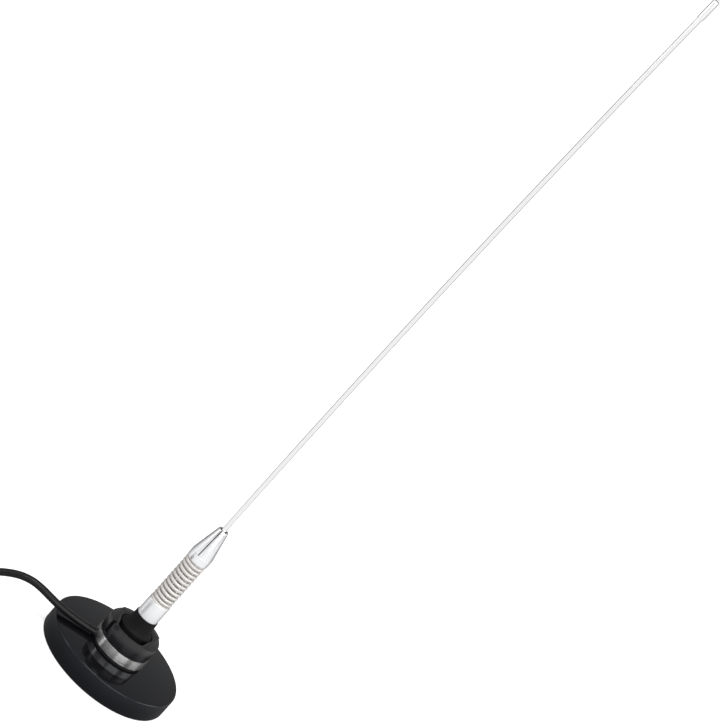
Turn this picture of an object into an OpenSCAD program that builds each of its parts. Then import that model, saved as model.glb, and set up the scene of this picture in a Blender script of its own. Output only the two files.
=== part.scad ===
// Dual-band mobile antenna on a round magnetic base.
// A stainless whip is clamped in a split collet on a coil spring.
// The spring stands on a chromed ferrule in a black hub, screwed to the base.
// Millimetres. Z is up, the origin is the middle of the base's underside,
// and the cable leaves the hub along -X.

/* [Base] */
// Diameter of the magnetic base
base_d = 89; // [60:0.5:120]
// Height of the base, from the floor to its flat top
base_h = 13.1; // [11:0.1:20]
// Chamfer round the base's top edge
base_edge = 0.8; // [0.2:0.1:2]
// Wall of the cover at its side
cover_wall = 2.2; // [1.2:0.1:4]
// Thickness of the cover's top
cover_top = 2.6; // [1.6:0.1:4]
// Thickness of the pad that saves the car's paint
pad_t = 0.6; // [0.4:0.1:1.5]
// Thickness of the steel pole plate behind the magnet
plate_t = 1.6; // [1:0.1:3]
// Room between the mounting screws' heads and the magnet's bore
screw_room = 2.3; // [0.8:0.1:5]

/* [Hub] */
// Diameter of the brushed ring
ring_d = 35.6; // [33:0.1:45]
// Height of the brushed ring
ring_h = 6.1; // [5.5:0.1:10]
// Wall of the brushed ring
ring_wall = 2.3; // [2:0.1:2.8]
// Thickness of the gasket under the ring
gasket_t = 1.7; // [1:0.1:3]
// Step from the ring's side in to the collar's
collar_inset = 0.3; // [0:0.1:0.8]
// Height of the collar, from the ring to its rim
collar_h = 11.4; // [10.8:0.1:20]
// Wall of the collar round its recess
collar_wall = 1.1; // [0.8:0.1:2]
// Depth of the recess in the collar's top
recess_depth = 3.1; // [2:0.1:3.6]
// Thickness of the web under the recess
web_t = 1.2; // [0.8:0.1:1.6]
// Step from the ring's side in to the mount's thread
thread_inset = 3.5; // [3.3:0.1:4.8]
// Length of the mount's thread
thread_h = 4.5; // [3:0.1:4.6]
// Direction that the narrow end of the recess faces
collar_turn = -112; // [-180:1:180]
// Angle between that direction and each side of the recess
side_angle = 81.5; // [70:0.5:90]
// Width of the collar beside its recess
recess_side = 6.3; // [5.5:0.1:6.5]
// Width of the rim between a side of the recess and its shoulder
side_rim = 1.2; // [0.8:0.1:2]
// Step from the rim down to a shoulder
shoulder_step = 0.7; // [0.3:0.1:1.5]
// Slope of the shoulders, falling outwards
shoulder_slope = 13; // [0:1:20]
// Width of the spanner slots
slot_w = 3.2; // [2:0.1:5]
// Depth of the spanner slots
slot_depth = 2.4; // [1:0.1:2.6]
// Height of the slots' feet over the ring
slot_foot = 1.4; // [0.8:0.1:3]
// Angle from the recess's narrow end to the first slot
slot_angle = -46; // [-60:1:-30]

/* [Stem] */
// Diameter of the chromed ferrule
ferrule_d = 14.3; // [13:0.1:16]
// Length of the ferrule between the boot and the spring
ferrule_show = 12.5; // [6:0.1:30]
// Diameter of the shank that holds the ferrule down
shank_d = 10; // [8:0.1:11]
// Height of the boot over the collar's rim
boot_rise = 10.4; // [6:0.1:20]
// Gap between the boot's foot and the recess's sides
boot_gap = 0.4; // [0.3:0.1:1.5]
// Wall of the boot at its thin top edge
boot_lip = 0.5; // [0.3:0.1:1]
// Outer diameter of the coil spring
spring_d = 14; // [13:0.1:16]
// Length of the coil spring
spring_l = 35.1; // [26:0.1:60]
// Diameter of the spring's wire
spring_wire = 2.5; // [1.6:0.1:2.6]
// Turns of the spring, with a closed one at each end
spring_turns = 11; // [6:1:12]
// Direction in which the wire's two ends lie
spring_turn = 68; // [-180:1:180]
// Length of the spigots that the spring's ends grip
spigot_l = 8; // [5:0.1:10]
// Diameter of the braid inside the spring
braid_d = 3.2; // [2:0.1:4]

/* [Collet and whip] */
// Diameter of the collet
collet_d = 14.3; // [13:0.1:16]
// Height of the collet's cylinder
collet_foot = 5.2; // [3:0.1:10]
// Height of the collet's cone
collet_cone = 19.7; // [16:0.1:30]
// Diameter of the collet at its top
collet_top_d = 6.7; // [5.8:0.1:9]
// Width of the slit in the collet
slit_w = 0.6; // [0.4:0.1:1]
// Direction that the slit faces
slit_turn = -124; // [-180:1:180]
// Diameter of the clamping screws
grub_d = 3; // [2:0.1:3.5]
// Height of the lower clamping screw over the cone's foot
grub_low = 4; // [3:0.1:5]
// Distance between the two clamping screws
grub_gap = 4.6; // [3.8:0.1:6]
// Diameter of the whip
whip_d = 3; // [2:0.1:3.2]
// Length of the whip in the collet
whip_hold = 25; // [22:0.1:26]
// Length of the whip from the collet's top to the tip cap
whip_show = 413.3; // [100:0.1:900]
// Radius of the whip's gentle bow
bow_r = 10000; // [6000:100:40000]
// Direction that the whip leans
bow_turn = -22; // [-180:1:180]
// Diameter of the tip cap
cap_d = 3.9; // [3.8:0.1:6]
// Length of the tip cap
cap_l = 14; // [10:0.1:30]
// Depth of the cap's bore over the whip's end
cap_hold = 9; // [5:0.1:9.5]

/* [Cable and plug] */
// Diameter of the coaxial cable
cable_d = 4.7; // [4:0.1:5]
// Turns beside each other in the coil
coil_layers = 5; // [3:1:6]
// Turns above each other in the coil
coil_levels = 4; // [2:1:6]
// Radius of the coil at the middle of its turns
coil_r = 28; // [26:0.5:40]
// Width of the tie round the coil
tie_w = 8; // [5:0.5:15]
// Thickness of the tie
tie_t = 0.8; // [0.5:0.1:1.5]
// Diameter of the plug's coupling nut
nut_d = 18; // [17.5:0.1:20]
// Length of the coupling nut
nut_l = 19.5; // [18:0.1:24]
// Thread bore of the coupling nut
nut_bore = 15.9; // [15.7:0.1:16.2]
// Diameter of the plug's body behind the nut
plug_d = 12.4; // [11:0.1:13]
// Diameter of the plug's contact pin
pin_d = 4; // [3.6:0.1:4.4]
// Length of the plug's strain relief
relief_l = 18; // [10:0.5:30]

/* [Hidden] */
$fn = 96;

// Clearances
slip = 0.05; // between a piece and the bore that guides it
free = 0.1; // between pieces that only lie in each other
seat = 0.2; // between faces that must not bind

// Heights of the hub, from the floor up
z_plate = base_h - cover_top - plate_t;
z_ring = base_h + gasket_t;
z_collar = z_ring + ring_h;
z_rim = z_collar + collar_h;
z_recess = z_rim - recess_depth;
z_web = z_recess - web_t;
z_post = z_collar + thread_h;
lock_nut_t = 1.5;
z_shank = z_web - lock_nut_t - 0.2;
z_contact = z_shank - 0.3;

// Heights of the stem
z_boot = z_rim + boot_rise;
z_ferrule = z_boot + ferrule_show;
z_spring = z_ferrule + spring_l;
z_cone = z_spring + collet_foot;
z_collet = z_cone + collet_cone;
ferrule_foot = 9.6; // ferrule hidden in the boot
z_shoulder = z_boot - ferrule_foot;

// Widths that follow from others
ring_bore = ring_d - 2 * ring_wall;
collar_d = ring_d - 2 * collar_inset;
thread_d = ring_d - 2 * thread_inset;
recess_half = collar_d / 2 - recess_side;
seat_step = 0.3; // the round part of the recess is this much wider than its sides
boot_foot_d = 2 * (recess_half - boot_gap);
post_d = ring_bore - 2 * slip;
post_flange_d = post_d - 3;
gasket_d = ring_d - 1.6;
insulator_d = 13;
contact_d = 5;
contact_head_d = 8;
spigot_d = spring_d - 2 * spring_wire - 2 * free;
screw_d = 3;
screw_head_d = 5.4;
screw_circle = post_flange_d - 5.9;
magnet_bore = screw_circle + screw_head_d + 2 * screw_room;
magnet_d = base_d - 2 * cover_wall - 3;

// The whip stands straight through the collet and bows above it
z_whip = z_collet - whip_hold;
whip_travel_down = 3;
bow_start = 10;
z_bow = z_collet + bow_start;
bow_angle = (whip_show - bow_start) / bow_r * 180 / PI;
cap_bore_end = cap_hold / bow_r * 180 / PI;

// The cable leaves the hub level, lies over the base's rim and falls to the floor
cable_z = base_h + cable_d / 2 + 0.45;
gland_d = cable_d + 0.8;
gland_out = 1;
gland_l = 3;
gland_x = ring_d / 2 + gland_out;
coil_c = [-150, -25];
coil_half = (coil_layers - 1) / 2 * cable_d;
coil_out = coil_r + coil_half;
coil_h = coil_levels * cable_d;
coil_w = coil_layers * cable_d;
tie_gap = 0.2;
z_coil = tie_t + tie_gap;
z_low_turn = z_coil + cable_d / 2;
z_high_turn = z_coil + coil_h - cable_d / 2;
tie_turn = 0;
climb_from = 30; // where the last turn leaves the level below
climb_to = 90;
cable_route = [
    [-26, 0, 15.9],
    [-37, 0.6, 16.4],
    [-46.5, 1.5, 17.3],
    [-52.5, 3, 18],
    [-59, 5.3, 18.6],
    [-65, 7.4, 18.4],
    [-70.5, 9.3, 17],
    [-75, 10.9, 14.8],
    [-79.5, 12, 12],
    [-84, 12.6, 8.9],
    [-89, 12.9, 5.7],
    [-94, 12.9, 3.6],
    [-101, 12.7, 2.6],
    [-111, 12.5, 2.6],
    [-122, 12.4, 2.8],
    [-133, 12.4, 3]];

// The last turn climbs onto the coil, and the plug lies there on its nut
z_plug = z_coil + coil_h + nut_d / 2 + 0.3;
tail_bend = 23;
bend_c = [coil_c[0] - coil_out + tail_bend, coil_c[1] - 1];
plug_at = [bend_c[0] + 4, bend_c[1] - tail_bend, z_plug];

// Places along the plug, from the end of its strain relief forward
y_body = relief_l;
y_shoulder = y_body + 12;
shoulder_t = 2.5;
y_barrel = y_shoulder + shoulder_t;
barrel_l = 9.5;
lip_t = 2.3;
y_nut = y_shoulder - seat - lip_t;
y_pin = y_nut + nut_l + 3;
barrel_d = nut_bore - 1.9;
barrel_bore = 12;
insulator_l = barrel_l - 2;
pin_root_d = pin_d - 0.8;

function circle_points(r, n) = [for (i = [0:n - 1]) [r * cos(360 * i / n), r * sin(360 * i / n)]];
function unit(v) = v / norm(v);
function around(c, r, a, z) = [c[0] + r * cos(a), c[1] + r * sin(a), z];

// A round bar swept along a path: one ring of n points at each path point
module swept(path, r, n) {
    last = len(path) - 1;
    rings = [for (i = [0:last])
        let (t = unit(path[min(i + 1, last)] - path[max(i - 1, 0)]))
        let (side = unit(cross(t, [0, 0, 1])))
        let (up = cross(side, t))
        for (p = circle_points(r, n)) path[i] + side * p[0] + up * p[1]];
    walls = [for (i = [0:last - 1]) for (k = [0:n - 1])
        [i * n + k, i * n + (k + 1) % n, (i + 1) * n + (k + 1) % n, (i + 1) * n + k]];
    start = [[for (k = [n - 1:-1:0]) k]];
    stop = [[for (k = [0:n - 1]) last * n + k]];
    polyhedron(points = rings, faces = concat(start, walls, stop), convexity = 10);
}

// A disc with a chamfer on its upper and lower outer edges
module edged(r, h, e) {
    rotate_extrude()
        polygon([[0, 0], [r - e, 0], [r, e], [r, h - e], [r - e, h], [0, h]]);
}

module mount_screw_places() {
    for (a = [90, 210, 330]) rotate([0, 0, a]) translate([screw_circle / 2, 0, 0]) children();
}

// The base

module base_cover() {
    color([0.05, 0.05, 0.055])
    difference() {
        rotate_extrude()
            polygon([[0, base_h], [base_d / 2 - base_edge, base_h],
                [base_d / 2, base_h - base_edge], [base_d / 2, pad_t],
                [base_d / 2 - cover_wall, pad_t], [base_d / 2 - cover_wall, base_h - cover_top],
                [0, base_h - cover_top]]);
        mount_screw_places() cylinder(d = screw_d + 0.4, h = 3 * base_h, center = true);
    }
}

module pole_plate() {
    color([0.45, 0.46, 0.48])
    difference() {
        translate([0, 0, z_plate])
            cylinder(d = base_d - 2 * cover_wall - 0.6, h = plate_t);
        mount_screw_places() cylinder(d = screw_d + 0.4, h = 3 * base_h, center = true);
    }
}

module magnet() {
    color([0.2, 0.2, 0.21])
    translate([0, 0, pad_t])
    difference() {
        edged(magnet_d / 2, z_plate - pad_t, 0.5);
        translate([0, 0, -1]) cylinder(d = magnet_bore, h = base_h);
    }
}

module base_pad() {
    color([0.07, 0.07, 0.07])
    cylinder(d = base_d - 0.6, h = pad_t);
}

module mount_screw(a) {
    color([0.6, 0.61, 0.63])
    rotate([0, 0, a]) translate([screw_circle / 2, 0, 0])
    difference() {
        union() {
            translate([0, 0, z_plate - 1.8]) edged(screw_head_d / 2, 1.8, 0.3);
            translate([0, 0, z_plate - 0.5]) cylinder(d = screw_d - 2 * slip, h = plate_t + cover_top + gasket_t);
        }
        translate([0, 0, z_plate - 2.4]) cylinder(d = 2.2, h = 1.7, $fn = 6);
    }
}
module mount_screw_a() mount_screw(90);
module mount_screw_b() mount_screw(210);
module mount_screw_c() mount_screw(330);

// The mount on the base, under and inside the hub

module cable_hole(d) {
    translate([-ring_d, 0, cable_z]) rotate([0, 90, 0]) cylinder(d = d, h = ring_d);
}

module gasket() {
    color([0.03, 0.03, 0.03])
    difference() {
        translate([0, 0, base_h]) cylinder(d = gasket_d, h = gasket_t);
        translate([0, 0, base_h - 1]) cylinder(d = post_flange_d + 2 * free, h = gasket_t + 2);
        cable_hole(gland_d + 2 * free);
    }
}

module ring() {
    color([0.5, 0.49, 0.47])
    difference() {
        translate([0, 0, z_ring]) edged(ring_d / 2, ring_h, 0.25);
        translate([0, 0, z_ring - 1]) cylinder(d = ring_bore, h = ring_h + 2);
        cable_hole(gland_d + 2 * free);
    }
}

module post() {
    color([0.78, 0.76, 0.7])
    difference() {
        union() {
            translate([0, 0, base_h]) cylinder(d = post_flange_d, h = gasket_t);
            translate([0, 0, z_ring]) cylinder(d = post_d, h = ring_h);
            translate([0, 0, z_collar]) cylinder(d = thread_d, h = thread_h);
        }
        translate([0, 0, z_ring + 3]) cylinder(d = insulator_d, h = z_post);
        translate([0, 0, base_h + 0.4]) cylinder(d = insulator_d - 3, h = ring_h);
        translate([-ring_d, 0, cable_z]) rotate([0, 90, 0]) cylinder(d = cable_d + 2 * free, h = ring_d);
        mount_screw_places() translate([0, 0, base_h - 1]) cylinder(d = screw_d, h = gasket_t + 1.4);
    }
}

module insulator() {
    color([0.93, 0.93, 0.9])
    difference() {
        translate([0, 0, z_ring + 3]) cylinder(d = insulator_d - 2 * slip, h = z_contact - 0.5 - z_ring - 3);
        cylinder(d = contact_d + 2 * slip, h = z_rim);
    }
}

module centre_contact() {
    color([0.8, 0.65, 0.3])
    union() {
        translate([0, 0, cable_z + 0.9]) cylinder(d = contact_d, h = z_contact - cable_z - 1);
        translate([0, 0, z_contact - 0.5]) cylinder(d = contact_head_d, h = 0.5);
    }
}

// The cable's inner wire, from the gland to the foot of the contact
module inner_lead() {
    color([0.72, 0.45, 0.2])
    translate([gland_l - gland_x, 0, cable_z]) rotate([0, 90, 0])
        cylinder(d = 1.6, h = gland_x - gland_l + contact_d / 2);
}

module cable_gland() {
    color([0.03, 0.03, 0.03])
    translate([-gland_x, 0, cable_z]) rotate([0, 90, 0]) cylinder(d = gland_d, h = gland_l);
}

// The hub's collar: a cup that screws onto the post

// Everything within a distance of the axis, towards the two slanting sides
module between_sides(half) {
    intersection_for (s = [-1, 1])
        rotate(collar_turn + s * side_angle)
        translate([half - collar_d, -collar_d / 2]) square(collar_d);
}

// The recess: round about the boot, and open to the wall towards its narrow end
module recess_shape() {
    circle(r = recess_half + seat_step);
    intersection() {
        circle(d = collar_d - 2 * collar_wall);
        between_sides(recess_half);
        rotate(collar_turn) translate([0, -collar_d / 2]) square(collar_d);
    }
}

module collar() {
    color([0.09, 0.09, 0.1])
    difference() {
        translate([0, 0, z_collar]) edged(collar_d / 2, collar_h, 0.3);
        translate([0, 0, z_collar - 1]) cylinder(d = thread_d + 2 * free, h = z_web - z_collar + 1);
        cylinder(d = shank_d + 2 * free, h = z_rim);
        translate([0, 0, z_recess]) linear_extrude(recess_depth + 1) recess_shape();
        for (s = [-1, 1])
            rotate([0, 0, collar_turn + s * side_angle])
            translate([recess_half + side_rim, -collar_d / 2, z_rim - shoulder_step])
            rotate([0, shoulder_slope, 0]) cube([collar_d / 2, collar_d, collar_h]);
        spanner_slot(0, collar_h);
        spanner_slot(180, z_web - z_collar - slot_foot);
    }
}

// A slot for a hook spanner: the first is open at the rim, the other ends under the recess
module spanner_slot(a, h) {
    rotate([0, 0, collar_turn + slot_angle + a])
        translate([collar_d / 2 - slot_depth, -slot_w / 2, z_collar + slot_foot])
        cube([slot_depth + 2, slot_w, h]);
}

module lock_nut() {
    color([0.75, 0.74, 0.7])
    difference() {
        translate([0, 0, z_web - lock_nut_t]) cylinder(d = 15, h = lock_nut_t, $fn = 6);
        translate([0, 0, z_web - 5]) cylinder(d = shank_d + 2 * slip, h = 8);
    }
}

module contact_pin() {
    color([0.8, 0.65, 0.3])
    translate([0, 0, z_contact]) edged(1.5, 3.5, 0.2);
}

// A rubber cone with a hollow flare, between the collar and the ferrule
module boot() {
    top_r = ferrule_d / 2 + boot_lip;
    foot_r = boot_foot_d / 2;
    flare = [for (i = [0:10]) let (a = 90 * i / 10)
        [top_r + (foot_r - top_r) * (1 - cos(a)), z_boot - (z_boot - z_rim) * sin(a)]];
    color([0.04, 0.04, 0.045])
    difference() {
        rotate_extrude()
            polygon(concat([[0, z_recess], [0, z_boot]], flare, [[foot_r, z_recess]]));
        translate([0, 0, z_shoulder]) cylinder(d = ferrule_d + 2 * free, h = z_boot);
        cylinder(d = shank_d + 2 * free, h = z_boot);
    }
}

module ferrule() {
    color([0.86, 0.87, 0.88])
    difference() {
        union() {
            translate([0, 0, z_shoulder]) edged(ferrule_d / 2, z_ferrule - z_shoulder, 0.2);
            translate([0, 0, z_shank]) cylinder(d = shank_d, h = z_shoulder - z_shank);
            translate([0, 0, z_ferrule - 0.5]) cylinder(d = spigot_d, h = spigot_l + 0.5);
        }
        translate([0, 0, z_shank - 1]) cylinder(d = 3 + 2 * free, h = 5);
        translate([0, 0, z_ferrule + spigot_l - 3]) cylinder(d = braid_d + 2 * slip, h = 4);
    }
}

// A close coil of round wire: the first and last turns lie on their neighbours
module spring() {
    r = (spring_d - spring_wire) / 2;
    low = z_ferrule + spring_wire / 2;
    closed = spring_wire + slip;
    open = (spring_l - spring_wire - 2 * closed) / (spring_turns - 2);
    steps = 20 * spring_turns;
    helix = [for (i = [0:steps])
        let (n = spring_turns * i / steps)
        let (a = spring_turn + 360 * n)
        let (middle = max(0, min(n, spring_turns - 1) - 1))
        let (ends = min(n, 1) + max(0, n - spring_turns + 1))
        [r * cos(a), r * sin(a), low + closed * ends + open * middle]];
    color([0.7, 0.69, 0.66])
    swept(helix, spring_wire / 2, 8);
}

// A soft copper braid that carries the current past the spring
module braid() {
    color([0.72, 0.45, 0.2])
    translate([0, 0, z_ferrule + spigot_l - 3])
        cylinder(d = braid_d, h = spring_l - 2 * spigot_l + 6);
}

module grub_place(up) {
    translate([0, 0, z_cone + up]) rotate([0, 0, slit_turn + 180]) rotate([0, 90, 0]) children();
}

module collet() {
    color([0.86, 0.87, 0.88])
    difference() {
        union() {
            rotate_extrude()
                polygon([[0, z_spring - 0.5], [spigot_d / 2, z_spring - 0.5], [spigot_d / 2, z_spring],
                    [collet_d / 2 - 0.2, z_spring], [collet_d / 2, z_spring + 0.2],
                    [collet_d / 2, z_cone], [collet_top_d / 2, z_collet], [0, z_collet]]);
            translate([0, 0, z_spring - spigot_l]) cylinder(d = spigot_d, h = spigot_l);
        }
        translate([0, 0, z_whip - whip_travel_down - 0.5])
            cylinder(d = whip_d + 2 * slip, h = z_collet);
        translate([0, 0, z_collet - 1]) cylinder(d1 = whip_d + 0.1, d2 = whip_d + 1.6, h = 1.01);
        translate([0, 0, z_spring - spigot_l - 1]) cylinder(d = braid_d + 2 * slip, h = 4);
        rotate([0, 0, slit_turn]) translate([0, -slit_w / 2, z_cone])
            cube([collet_d, slit_w, collet_cone + 1]);
        for (up = [grub_low, grub_low + grub_gap])
            grub_place(up) cylinder(d = grub_d + 2 * slip, h = collet_d);
    }
}

// A headless screw that presses the whip, sunk just under the cone's face
module grub_screw(up) {
    cone_r = collet_d / 2 - (collet_d - collet_top_d) / 2 * (up + grub_d / 2) / collet_cone;
    long = cone_r - 0.2 - whip_d / 2 - free;
    color([0.15, 0.15, 0.16])
    grub_place(up)
    difference() {
        translate([0, 0, whip_d / 2 + free]) cylinder(d = grub_d, h = long);
        translate([0, 0, whip_d / 2 + free + long - 1.2]) cylinder(d = 1.6, h = 2, $fn = 6);
    }
}
module grub_low_screw() grub_screw(grub_low);
module grub_high_screw() grub_screw(grub_low + grub_gap);

// The whip

// Moves children to the arc's start, leaning towards the bow's side
module at_bow() {
    translate([0, 0, z_bow]) rotate([0, 0, bow_turn]) children();
}

module bow_arc(d, from, angle) {
    translate([bow_r, 0, 0]) rotate([0, 0, 180]) rotate([90, 0, 0])
        rotate([0, 0, from]) rotate_extrude(angle = angle, $fn = 3600) translate([bow_r, 0]) circle(d = d, $fn = 48);
}

// Moves children to the arc's far end, upright on it
module at_tip() {
    at_bow()
        translate([bow_r * (1 - cos(bow_angle)), 0, bow_r * sin(bow_angle)])
        rotate([0, bow_angle, 0]) children();
}

module whip() {
    color([0.8, 0.8, 0.79])
    union() {
        translate([0, 0, z_whip]) cylinder(d = whip_d, h = z_bow - z_whip, $fn = 48);
        at_bow() bow_arc(whip_d, 0, bow_angle + cap_bore_end);
    }
}

module tip_cap() {
    color([0.82, 0.82, 0.81])
    at_tip()
    difference() {
        rotate_extrude()
            polygon([[0, 0], [cap_d / 2 - 0.3, 0], [cap_d / 2, 0.8], [cap_d / 2, cap_l - 0.7],
                [cap_d / 2 - 0.25, cap_l - 0.2], [cap_d / 2 - 0.7, cap_l], [0, cap_l]]);
        translate([0, 0, -1]) cylinder(d = whip_d + 2 * slip, h = cap_hold + 1 + free);
    }
}

// The cable, its coil and its plug

module cable() {
    start = [-gland_x, 0, cable_z];
    finish = [coil_c[0], coil_c[1] + coil_out, z_low_turn];
    color([0.05, 0.05, 0.055])
    swept(concat([start], cable_route, [finish]), cable_d / 2, 12);
}

module coil_section(grow) {
    translate([coil_r - coil_w / 2 - grow, z_coil - grow])
        square([coil_w + 2 * grow, coil_h + 2 * grow]);
}

module cable_coil() {
    color([0.05, 0.05, 0.055])
    translate([coil_c[0], coil_c[1], 0]) rotate_extrude() coil_section(0);
}

module coil_tie() {
    span = tie_w / coil_r * 180 / PI;
    color([0.12, 0.12, 0.13])
    translate([coil_c[0], coil_c[1], 0]) rotate([0, 0, tie_turn - span / 2])
    rotate_extrude(angle = span)
    difference() {
        coil_section(tie_gap + tie_t);
        coil_section(tie_gap);
    }
}

// The end of the cable: up onto the coil, half round it, and a bend into the plug
module cable_tail() {
    climb = [for (a = [climb_from:10:climb_to])
        around(coil_c, coil_out, a, z_high_turn + cable_d * (a - climb_from) / (climb_to - climb_from))];
    on_top = [for (a = [climb_to + 10:10:180]) around(coil_c, coil_out, a, z_high_turn + cable_d)];
    rise = z_plug - z_high_turn - cable_d;
    bend = [for (a = [180:10:270])
        around(bend_c, tail_bend, a, z_high_turn + cable_d + rise * (1 - cos(2 * (a - 180))) / 2)];
    color([0.05, 0.05, 0.055])
    swept(concat(climb, on_top, bend, [plug_at]), cable_d / 2, 12);
}

module at_plug() {
    translate(plug_at) rotate([0, 90, 0]) children();
}

module plug_relief() {
    color([0.04, 0.04, 0.045])
    at_plug()
        rotate_extrude()
        polygon([[0, 0], [cable_d / 2 + 0.5, 0], [cable_d / 2 + 0.7, 0.4],
            [plug_d / 2 - 0.6, relief_l - 5], [plug_d / 2 - 0.3, relief_l - 0.3],
            [plug_d / 2 - 0.6, relief_l], [0, relief_l]]);
}

module plug_body() {
    color([0.8, 0.8, 0.78])
    at_plug()
    difference() {
        union() {
            translate([0, 0, y_body]) cylinder(d = plug_d, h = y_shoulder - y_body);
            translate([0, 0, y_shoulder]) cylinder(d = nut_bore - 0.6, h = shoulder_t);
            translate([0, 0, y_barrel]) cylinder(d = barrel_d, h = barrel_l);
        }
        translate([0, 0, y_shoulder + 1]) cylinder(d = barrel_bore, h = barrel_l + shoulder_t);
        for (a = [45:90:315]) rotate([0, 0, a]) translate([barrel_d / 2, 0, y_barrel + barrel_l])
            cube([3, 2, 2], center = true);
    }
}

module plug_insulator() {
    color([0.93, 0.93, 0.9])
    at_plug()
    translate([0, 0, y_shoulder + 1])
    difference() {
        cylinder(d = barrel_bore - 2 * slip, h = insulator_l);
        translate([0, 0, -1]) cylinder(d = pin_root_d + 2 * slip, h = barrel_l + 2);
    }
}

// The pin is thinner in the insulator, so its shoulder stops it there
module plug_pin() {
    free_l = y_pin - y_shoulder - 1;
    color([0.8, 0.65, 0.3])
    at_plug()
    translate([0, 0, y_shoulder + 1])
    rotate_extrude()
        polygon([[0, 0], [pin_root_d / 2, 0], [pin_root_d / 2, insulator_l + slip],
            [pin_d / 2, insulator_l + slip], [pin_d / 2, free_l - 1.2],
            [pin_d / 2 - 0.9, free_l - 0.1], [0, free_l]]);
}

module plug_nut() {
    color([0.8, 0.8, 0.78])
    at_plug()
    difference() {
        translate([0, 0, y_nut]) edged(nut_d / 2, nut_l, 0.6);
        translate([0, 0, y_nut - 1]) cylinder(d = plug_d + 3 * slip, h = nut_l + 2);
        translate([0, 0, y_nut + lip_t]) cylinder(d = nut_bore, h = nut_l);
    }
}

base_cover();
pole_plate();
magnet();
base_pad();
mount_screw_a();
mount_screw_b();
mount_screw_c();
gasket();
ring();
post();
insulator();
centre_contact();
inner_lead();
cable_gland();
collar();
lock_nut();
contact_pin();
boot();
ferrule();
spring();
braid();
collet();
grub_low_screw();
grub_high_screw();
whip();
tip_cap();
cable();
cable_coil();
coil_tie();
cable_tail();
plug_relief();
plug_body();
plug_insulator();
plug_pin();
plug_nut();
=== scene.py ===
# %% [markdown]
# # A whip antenna on a magnetic base
# The solids of the antenna were drawn first, as plain shapes with true sizes.
# This lesson dresses them: round edges, wound wire, brushed metal, rubber and
# paint. Every piece stays where its solid is, so nothing has to be fitted.
# Sizes are written in millimetres, as on a drawing, and turned to metres by MM.

# %% The fixed frame
import math
from math import cos, pi, radians, sin
import bmesh
import bpy
from mathutils import Matrix, Vector


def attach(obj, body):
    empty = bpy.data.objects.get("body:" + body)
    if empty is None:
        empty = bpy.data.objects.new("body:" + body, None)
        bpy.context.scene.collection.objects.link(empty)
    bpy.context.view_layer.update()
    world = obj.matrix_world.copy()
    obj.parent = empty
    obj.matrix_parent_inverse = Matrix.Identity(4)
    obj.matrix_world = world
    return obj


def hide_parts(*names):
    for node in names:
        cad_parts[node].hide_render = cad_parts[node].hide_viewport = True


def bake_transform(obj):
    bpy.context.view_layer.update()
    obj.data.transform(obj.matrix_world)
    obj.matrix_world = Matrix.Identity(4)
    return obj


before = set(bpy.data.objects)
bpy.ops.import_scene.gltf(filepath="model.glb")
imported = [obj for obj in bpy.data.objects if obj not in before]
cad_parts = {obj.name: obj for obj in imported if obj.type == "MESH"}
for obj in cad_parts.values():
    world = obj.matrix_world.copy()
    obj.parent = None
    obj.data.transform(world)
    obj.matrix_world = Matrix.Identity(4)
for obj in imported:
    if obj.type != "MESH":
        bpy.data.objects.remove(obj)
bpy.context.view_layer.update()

scene = bpy.context.scene
MM = 0.001
print("nodes in the frame:", len(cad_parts))

# %% [markdown]
# ## The camera
# The photograph looks down on the base by 25 degrees from far away, through a
# long lens, and the picture was turned by 42 degrees, so the upright rod runs
# from corner to corner. A long lens keeps the rod's sides parallel. The place
# and the angles below came from fitting the round base's outline.

# %% The camera
lens = bpy.data.cameras.new("long_lens")
lens.sensor_width = 36
lens.lens = 210.47
lens.clip_start = 0.1
lens.clip_end = 30
eye = bpy.data.objects.new("eye", lens)
eye.location = (-0.84783, -2.09844, 1.06194)
eye.rotation_euler = [radians(a) for a in (64.311, -38.731, -5.0936)]
scene.collection.objects.link(eye)
scene.camera = eye
scene.view_settings.view_transform = "Standard"
print("the camera stands", round(eye.location.length, 2), "m away")

# %% [markdown]
# ## The cable's line
# The coaxial cable leaves the hub level, lies over the edge of the base, falls
# to the floor and runs to a coil. A coil is a rule, not a drawing: each turn
# keeps its radius for five sixths of the way, then steps over by one cable
# diameter, and at the end of a layer it climbs onto the layer below. A loop
# gives its points, and a smooth curve through a few given points does the rest.

# %% The route through given points
CABLE_D = 4.7
EXIT = (-18.8, 0, 15.9)
hub_to_coil = [EXIT, (-26, 0, 15.9), (-37, 0.6, 16.4), (-46.5, 1.5, 17.3),
               (-52.5, 3, 18), (-59, 5.3, 18.6), (-65, 7.4, 18.4), (-70.5, 9.3, 17),
               (-75, 10.9, 14.8), (-79.5, 12, 12), (-84, 12.6, 8.9), (-89, 12.9, 5.7),
               (-94, 12.9, 3.6), (-101, 12.7, 2.6), (-111, 12.5, 2.6), (-122, 12.4, 2.8),
               (-133, 12.4, 3), (-142, 12.4, 3.2), (-150, 12.4, 3.35)]


def smooth_line(points, steps):
    """Points on a smooth curve that passes through every given point."""
    given = [Vector(p) for p in points]
    given = [2 * given[0] - given[1]] + given + [2 * given[-1] - given[-2]]
    line = []
    for a, b, c, d in zip(given, given[1:], given[2:], given[3:]):
        for i in range(steps):
            t = i / steps
            line.append(0.5 * (2 * b + (c - a) * t + (2 * a - 5 * b + 4 * c - d) * t * t
                               + (3 * b - a - 3 * c + d) * t ** 3))
    return line + [given[-2]]


def length_of(line):
    return sum((b - a).length for a, b in zip(line, line[1:]))


lead_in = smooth_line(hub_to_coil, 6)
print("cable before the coil:", round(length_of(lead_in)), "mm")

# %% The coil, turn by turn
COIL_CENTRE = Vector((-150, -25, 0))
MEAN_RADIUS = 28.0
coil_radii = [MEAN_RADIUS + CABLE_D * k for k in (2, 1, 0, -1, -2)]
coil_levels = [3.35 + CABLE_D * k for k in range(4)]


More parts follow.
